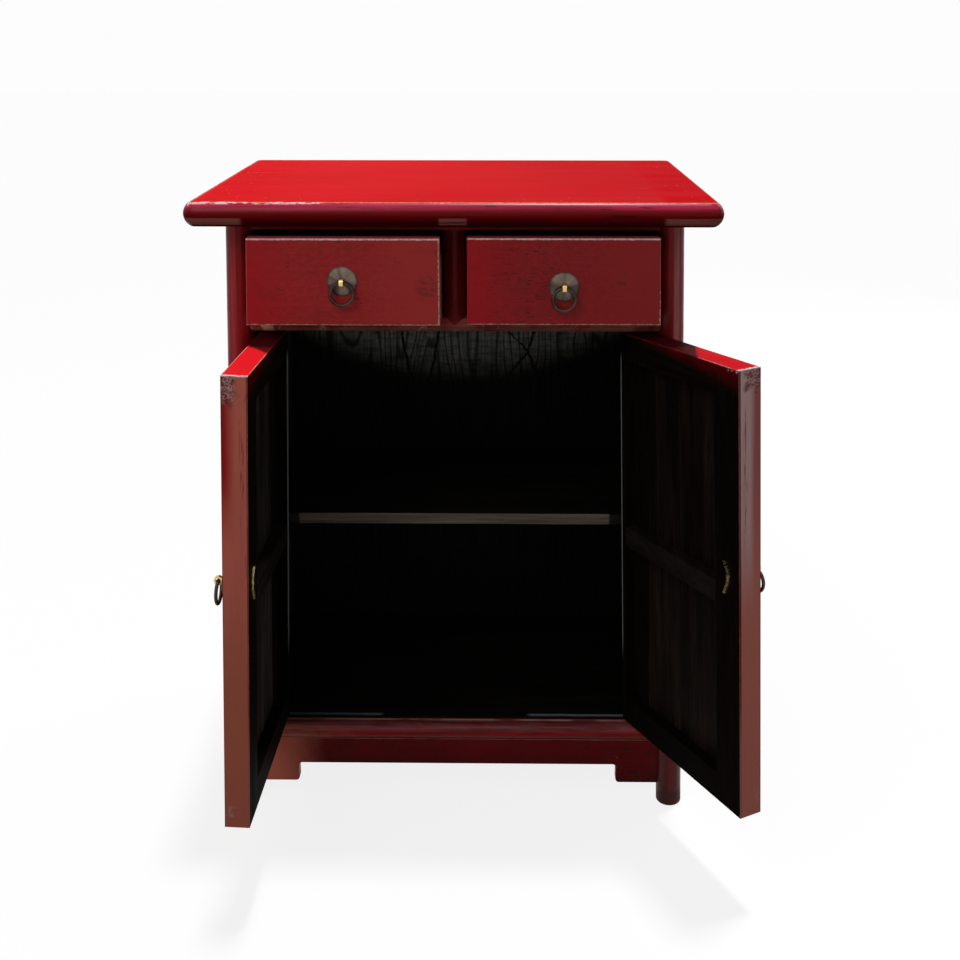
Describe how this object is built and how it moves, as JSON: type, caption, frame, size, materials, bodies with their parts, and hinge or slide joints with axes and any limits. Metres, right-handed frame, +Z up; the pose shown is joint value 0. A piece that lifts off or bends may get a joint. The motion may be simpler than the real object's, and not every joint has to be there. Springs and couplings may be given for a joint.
{
  "type": "nightstand",
  "caption": "Red-lacquered cabinet nightstand: leaning round posts, rounded overhanging top, drawers with ring pulls over panelled doors on wooden pivots, a shelf inside.",
  "frame": {"origin": "on the floor, under the middle of the top and midway between the four feet", "axes": "+Z up, -Y towards the front with the doors and drawers, +X to the right as seen from the front"},
  "size_m": [0.5713, 0.5231, 0.698],
  "materials": {
    "red_lacquer": "red lacquer with worn edges",
    "black_lacquer": "thin black lacquer over open grain",
    "bare_wood": "bare, aged",
    "bronze": "dark patina",
    "brass": "rubbed bright",
    "iron": "dark, handled smooth"
  },
  "bodies": {
    "carcass": {"top_front": "red_lacquer", "top_back": "red_lacquer", "top_left": "red_lacquer", "top_right": "red_lacquer", "top_panel": "red_lacquer", "top_battens": "bare_wood", "post_front_left": "red_lacquer", "post_front_right": "red_lacquer", "post_back_left": "red_lacquer", "post_back_right": "red_lacquer", "upper_front_rail": "red_lacquer", "upper_side_rails": "red_lacquer", "upper_back_rail": "red_lacquer", "middle_rail": "red_lacquer", "drawer_divider": "red_lacquer", "sill_rail": "red_lacquer", "lower_side_rails": "red_lacquer", "lower_back_rail": "red_lacquer", "side_panel_left": "red_lacquer", "side_panel_right": "red_lacquer", "back_panel": "black_lacquer", "front_apron": "red_lacquer", "side_aprons": "red_lacquer", "dust_board": "black_lacquer", "dust_cleats": "black_lacquer", "drawer_guides": "bare_wood", "bottom_board": "black_lacquer", "shelf": "black_lacquer", "shelf_cleats": "black_lacquer"},
    "drawer_left": {"drawer_left_front": "red_lacquer", "drawer_left_sides": "bare_wood", "drawer_left_back": "bare_wood", "drawer_left_bottom": "bare_wood", "drawer_left_plate": "bronze", "drawer_left_pin": "brass"},
    "drawer_left_ring": {"drawer_left_ring": "iron"},
    "door_left": {"door_left_hinge_stile": "red_lacquer", "door_left_meeting_stile": "red_lacquer", "door_left_rails": "red_lacquer", "door_left_panel": "red_lacquer", "door_left_batten": "black_lacquer", "door_left_plate": "bronze", "door_left_pin": "brass"},
    "door_left_ring": {"door_left_ring": "iron"},
    "drawer_right": {"drawer_right_front": "red_lacquer", "drawer_right_sides": "bare_wood", "drawer_right_back": "bare_wood", "drawer_right_bottom": "bare_wood", "drawer_right_plate": "bronze", "drawer_right_pin": "brass"},
    "drawer_right_ring": {"drawer_right_ring": "iron"},
    "door_right": {"door_right_hinge_stile": "red_lacquer", "door_right_meeting_stile": "red_lacquer", "door_right_rails": "red_lacquer", "door_right_panel": "red_lacquer", "door_right_batten": "black_lacquer", "door_right_plate": "bronze", "door_right_pin": "brass"},
    "door_right_ring": {"door_right_ring": "iron"}
  },
  "joints": [
    {"name": "door_left_hinge", "type": "hinge", "parent": "carcass", "child": "door_left", "pos_m": [-0.1977, -0.128, 0.3298], "axis": [-0.0349, 0, -0.9994], "range_deg": [-90.9, 29.1]},
    {"name": "door_right_hinge", "type": "hinge", "parent": "carcass", "child": "door_right", "pos_m": [0.1977, -0.128, 0.3298], "axis": [-0.0349, 0, 0.9994], "range_deg": [-116, 4]},
    {"name": "drawer_left_slide", "type": "slide", "parent": "carcass", "child": "drawer_left", "axis": [0, -1, 0], "range_m": [-0.042, 0.148]},
    {"name": "drawer_right_slide", "type": "slide", "parent": "carcass", "child": "drawer_right", "axis": [0, -1, 0], "range_m": [-0.038, 0.152]},
    {"name": "drawer_left_ring_swing", "type": "hinge", "parent": "drawer_left", "child": "drawer_left_ring", "pos_m": [-0.11, -0.1895, 0.6191], "axis": [-1, 0, 0], "range_deg": [-5, 100]},
    {"name": "drawer_right_ring_swing", "type": "hinge", "parent": "drawer_right", "child": "drawer_right_ring", "pos_m": [0.11, -0.1855, 0.6131], "axis": [-1, 0, 0], "range_deg": [-5, 100]},
    {"name": "door_left_ring_swing", "type": "hinge", "parent": "door_left", "child": "door_left_ring", "pos_m": [-0.21934, -0.30707, 0.35665], "axis": [0.0145, 0.9993, -0.0354], "range_deg": [-5, 100]},
    {"name": "door_right_ring_swing", "type": "hinge", "parent": "door_right", "child": "door_right_ring", "pos_m": [0.29313, -0.28058, 0.35923], "axis": [0.4366, -0.8982, 0.0502], "range_deg": [-5, 100]}
  ]
}
